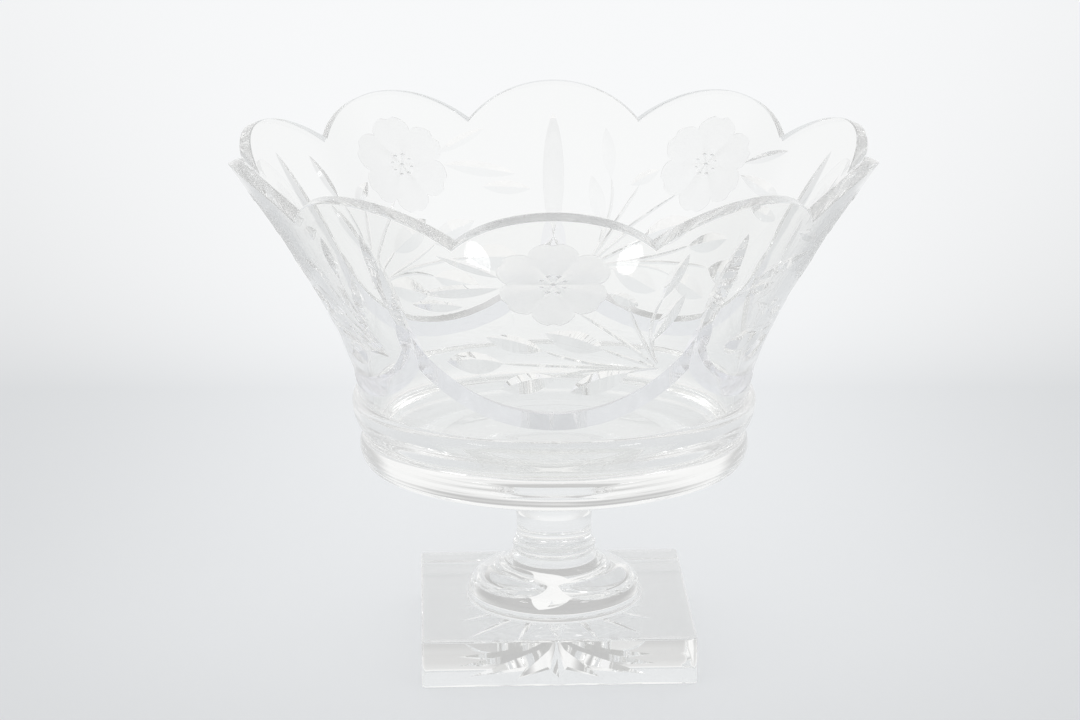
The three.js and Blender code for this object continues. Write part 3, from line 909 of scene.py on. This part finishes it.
def plinth_outline(p):
    """Points of the plinth's rounded square, (x, y), with their direction in degrees. On the sides the columns run
    along the star's keels and along the ridges between them; round the corners they go by even steps of arc."""
    half, corner = p.side / 2, p.corner
    last = math.degrees(math.atan2(half - corner, half))
    stops = [0, ridge(p.side_ray, p.between_ray, p), STAR_STEP]
    stops += [STAR_STEP + ridge(p.between_ray, p.corner_ray, p), last]
    right = np.concatenate([np.linspace(a, b, 9)[1:] for a, b in zip(stops, stops[1:])])
    directions = np.concatenate([-right[::-1], [0], right])
    side = np.stack([np.full(len(directions), half), half * np.tan(np.radians(directions))], 1)
    bend = arc((half - corner, half - corner), (corner, corner), 0, 90, 9)[1:-1]
    quarter = np.concatenate([side, bend])
    quarter_turns = np.radians([0, 90, 180, 270])
    turns = [np.array([[math.cos(q), -math.sin(q)], [math.sin(q), math.cos(q)]]) for q in quarter_turns]
    outline = np.concatenate([quarter @ turn.T for turn in turns])
    return outline, np.degrees(np.arctan2(outline[:, 1], outline[:, 0])) % 360


def ridge(reach, next_reach, p):
    """How many degrees past a ray's keel it meets the next ray: where both are cut equally far from the middle,
    cos d / reach + sin d / half width being the same for both."""
    c, s = math.cos(math.radians(STAR_STEP)), math.sin(math.radians(STAR_STEP))
    rise = c / next_reach + s / p.star_half - 1 / reach
    return math.degrees(math.atan2(rise, (1 + c) / p.star_half - s / next_reach))


def edge_normal(outline, p):
    """Outward direction at each point of the outline: from the nearest point of the square without its corners."""
    inner = np.clip(outline, -p.side / 2 + p.corner, p.side / 2 - p.corner)
    away = outline - inner
    return away / np.linalg.norm(away, axis=1)[:, None]


def star_edge(degrees, p):
    """Where the star's cuts end, in each direction. A ray is a V that narrows from the middle to its tip, so it
    ends at r where r cos d / reach + r sin d / half width = 1, with d the angle from its keel; the ray that
    reaches farther wins."""
    reaches = np.array([p.side_ray, p.between_ray, p.corner_ray, p.between_ray])
    nearest = np.floor(degrees / STAR_STEP)
    edges = []
    for keel in (nearest, nearest + 1):
        d = np.radians(np.abs(degrees - keel * STAR_STEP))
        reach = reaches[keel.astype(int) % 4]
        edges.append(1 / (np.cos(d) / reach + np.sin(d) / p.star_half))
    return np.maximum(*edges)


class CUTGLASS_OT_stage(bpy.types.Operator):
    """Sets the pale table, the surroundings, the lamps and the camera"""

    bl_idname = "cutglass.stage"
    bl_label = "Add stage"

    def execute(self, context):
        scene = context.scene
        look = scene.bowl_stage
        s = sizes("bowl_stage")
        add_floor(look, s)
        add_surroundings(scene)
        add_lamps(look)
        scene.camera = add_camera(s)
        scene.view_settings.view_transform = "Standard"
        scene.cycles.max_bounces = 72
        scene.cycles.transmission_bounces = 72
        scene.cycles.glossy_bounces = 72
        scene.cycles.transparent_max_bounces = 24
        return {"FINISHED"}


def add_floor(look, s):
    """A wide level floor, 0.2 mm under the plinth, so that its star meets air. From the table's edge on, its tone
    rises towards the sweep's as 1 - exp(-distance / fade). A painted pool of light reaches over it from the sweep to
    the bowl: the tone falls off to both sides, by the distance aside over 1 + spread x the distance past the table's
    edge, and all round in front, as painted shade."""
    mesh = bpy.data.meshes.new("table_and_sweep")
    wide, near, far, air = 6.0, -4.0, 7.0, -0.0002
    fade, spread, pool_middle = 0.10, 2.0, 0.07
    pool = {"From_Min": 0.05, "From_Max": 0.30, "To_Min": 1.0, "To_Max": 0.83}
    mesh.from_pydata([(-wide, near, air), (wide, near, air), (wide, far, air), (-wide, far, air)], [], [(0, 1, 2, 3)])
    floor = bpy.data.objects.new("table_and_sweep", mesh)
    bpy.context.scene.collection.objects.link(floor)
    # White laminate, matt. It stays pale for the eye and through the glass, and keeps part of every shadow.
    material, tree = new_material("matt_white_laminate")
    place = add(tree, "ShaderNodeTexCoord")
    axes = add(tree, "ShaderNodeSeparateXYZ", [("Vector", place, "Object")])
    past = add(tree, "ShaderNodeMath", [(0, axes, "Y"), (1, s.table_edge / 1000)], operation="SUBTRACT")
    depth = add(tree, "ShaderNodeMath", [(0, past, 0), (1, 0.0)], operation="MAXIMUM")
    power = add(tree, "ShaderNodeMath", [(0, depth, 0), (1, -1 / fade)], operation="MULTIPLY")
    share = add(tree, "ShaderNodeMath", [(0, power, 0)], operation="EXPONENT")
    sweep, table = (*look.far_floor, 1), (*look.floor, 1)
    tone = add(tree, "ShaderNodeMix", [("Factor", share, 0), (6, sweep), (7, table)], data_type="RGBA")
    # Painted light: a pool of light painted into the floor's tone, falling off to both sides and in front of the
    # bowl.
    width = add(tree, "ShaderNodeMath", [(0, depth, 0), (1, spread), (2, 1.0)], operation="MULTIPLY_ADD")
    aside = add(tree, "ShaderNodeMath", [(0, axes, "X"), (1, width, 0)], operation="DIVIDE")
    front = add(tree, "ShaderNodeMath", [(0, axes, "Y"), (1, pool_middle)], operation="SUBTRACT")
    front = add(tree, "ShaderNodeMath", [(0, front, 0), (1, 0.0)], operation="MINIMUM")
    away = add(tree, "ShaderNodeCombineXYZ", [("X", aside, 0), ("Y", front, 0)])
    away = add(tree, "ShaderNodeVectorMath", [(0, away, 0)], operation="LENGTH")
    light = add(tree, "ShaderNodeMapRange", [("Value", away, "Value")], interpolation_type="SMOOTHSTEP", **pool)
    shade = add(tree, "ShaderNodeVectorMath", [("Vector", tone, 2), ("Scale", light, 0)], operation="SCALE")
    lit = add(tree, "ShaderNodeBsdfPrincipled", [("Base Color", shade, 0)], Roughness=0.75, IOR=1.3)
    pale = add(tree, "ShaderNodeEmission", [("Color", shade, 0)], Strength=1.0)
    # How much of the tone shows without shadow: paleness to the camera, clearness in a reflection or through glass.
    path = add(tree, "ShaderNodeLightPath")
    eye = add(tree, "ShaderNodeMath", [(0, path, "Is Camera Ray"), (1, look.paleness)], operation="MULTIPLY")
    either = [(0, path, "Is Glossy Ray"), (1, path, "Is Transmission Ray")]
    bent = add(tree, "ShaderNodeMath", either, operation="MAXIMUM")
    bent = add(tree, "ShaderNodeMath", [(0, bent, 0), (1, look.clearness)], operation="MULTIPLY")
    seen = add(tree, "ShaderNodeMath", [(0, eye, 0), (1, bent, 0)], operation="MAXIMUM")
    both = add(tree, "ShaderNodeMixShader", [("Fac", seen, 0), (1, lit, "BSDF"), (2, pale, "Emission")])
    add(tree, "ShaderNodeOutputMaterial", [("Surface", both, "Shader")])
    mesh.materials.append(material)


def add_surroundings(scene):
    """White walls all round. In the glass a grey ceiling, lower at the back, grey screens at both sides and a greyer
    room behind the camera show as well, so that it has bright and grey edges. Each is a cone about a direction, and
    its tone goes by the cosine."""
    world = bpy.data.worlds.new("white_studio")
    scene.world = world
    world.use_nodes = True
    tree = world.node_tree
    tree.nodes.clear()
    place = add(tree, "ShaderNodeTexCoord")
    darker = add(tree, "ShaderNodeValue")
    # Direction, cosine at the cone's edge, cosine from which its tone is full, tone against the walls
    for direction, outside, inside, tone in (
        ((0.0, 0.4, 0.917), 0.56, 0.81, CEILING - WALLS),
        ((0.0, -0.985, 0.17), 0.86, 0.95, ROOM - WALLS),
        ((-0.98, 0.1, 0.17), 0.86, 0.96, SIDES - WALLS),
        ((0.98, 0.1, 0.17), 0.86, 0.96, SIDES - WALLS),
    ):
        near = add(tree, "ShaderNodeVectorMath", [(0, place, "Generated"), (1, direction)], operation="DOT_PRODUCT")
        cone = {"From_Min": outside, "From_Max": inside, "To_Min": 0.0, "To_Max": tone}
        cone = add(tree, "ShaderNodeMapRange", [("Value", near, "Value")], interpolation_type="SMOOTHSTEP", **cone)
        darker = add(tree, "ShaderNodeMath", [(0, darker, 0), (1, cone, 0)], operation="ADD")
    # The grey fields show in the glass only, so that light falls evenly on the table.
    path = add(tree, "ShaderNodeLightPath")
    either = [(0, path, "Is Glossy Ray"), (1, path, "Is Transmission Ray")]
    bent = add(tree, "ShaderNodeMath", either, operation="MAXIMUM")
    total = add(tree, "ShaderNodeMath", [(0, darker, 0), (1, bent, 0), (2, WALLS)], operation="MULTIPLY_ADD")
    shader = add(tree, "ShaderNodeBackground", [("Strength", total, 0)], Color=(1, 1, 1, 1))
    add(tree, "ShaderNodeOutputWorld", [("Surface", shader, "Background")])


def add_lamps(look):
    """Two oval soft lamps in front of the bowl, left and right of the camera, 1.7 m from the bowl's middle and
    aimed at it."""
    middle, distance, rise = 0.09, 1.7, math.radians(38)
    for name, aside in (("front_softbox_left", -48), ("front_softbox_right", 48)):
        data = bpy.data.lights.new("front_softbox", "AREA")
        data.shape = "ELLIPSE"
        data.size, data.size_y = 0.34, 0.2
        data.energy = look.lamp_power
        lamp = bpy.data.objects.new(name, data)
        bpy.context.scene.collection.objects.link(lamp)
        turn = Matrix.Rotation(math.radians(aside), 4, "Z") @ Matrix.Rotation(math.pi / 2 - rise, 4, "X")
        lamp.matrix_world = Matrix.Translation((0, 0, middle)) @ turn @ Matrix.Translation((0, 0, distance))


def add_camera(s):
    """Camera at the photograph's place: looks along its own -Z, turned down by the pitch, then by yaw and roll."""
    data = bpy.data.cameras.new("camera")
    data.sensor_width = 36
    data.lens = s.lens
    camera = bpy.data.objects.new("camera", data)
    bpy.context.scene.collection.objects.link(camera)
    yaw, pitch, roll = (math.radians(a) for a in (s.camera_yaw, s.camera_pitch, s.camera_roll))
    place = Matrix.Translation((-s.camera_aside / 1000, -s.camera_distance / 1000, s.camera_height / 1000))
    turn = Matrix.Rotation(yaw, 4, "Z") @ Matrix.Rotation(math.pi / 2 - pitch, 4, "X") @ Matrix.Rotation(roll, 4, "Z")
    camera.matrix_world = place @ turn
    return camera


class CUTGLASS_PT_panel(bpy.types.Panel):
    """Sizes and buttons of the footed cut-glass bowl"""

    bl_label = "Footed cut-glass bowl"
    bl_space_type = "VIEW_3D"
    bl_region_type = "UI"
    bl_category = "Cut Glass"

    def draw(self, context):
        for operator in OPERATORS:
            self.layout.operator(operator.bl_idname)
        for name, group_class in GROUPS.items():
            box = self.layout.box()
            box.label(text=group_class.__doc__)
            group = getattr(context.scene, name)
            for prop in group_class.__annotations__:
                box.prop(group, prop)


OPERATORS = (CUTGLASS_OT_bowl, CUTGLASS_OT_foot, CUTGLASS_OT_plinth, CUTGLASS_OT_stage)


def register():
    for group_class in GROUPS.values():
        bpy.utils.register_class(group_class)
    for name, group_class in GROUPS.items():
        setattr(bpy.types.Scene, name, PointerProperty(type=group_class))
    for item in (*OPERATORS, CUTGLASS_PT_panel):
        bpy.utils.register_class(item)


def unregister():
    for item in (CUTGLASS_PT_panel, *OPERATORS):
        bpy.utils.unregister_class(item)
    for name, group_class in GROUPS.items():
        delattr(bpy.types.Scene, name)
        bpy.utils.unregister_class(group_class)


def main():
    register()
    bpy.ops.cutglass.plinth()
    bpy.ops.cutglass.foot()
    bpy.ops.cutglass.bowl()
    bpy.ops.cutglass.stage()


if __name__ == "__main__":
    main()
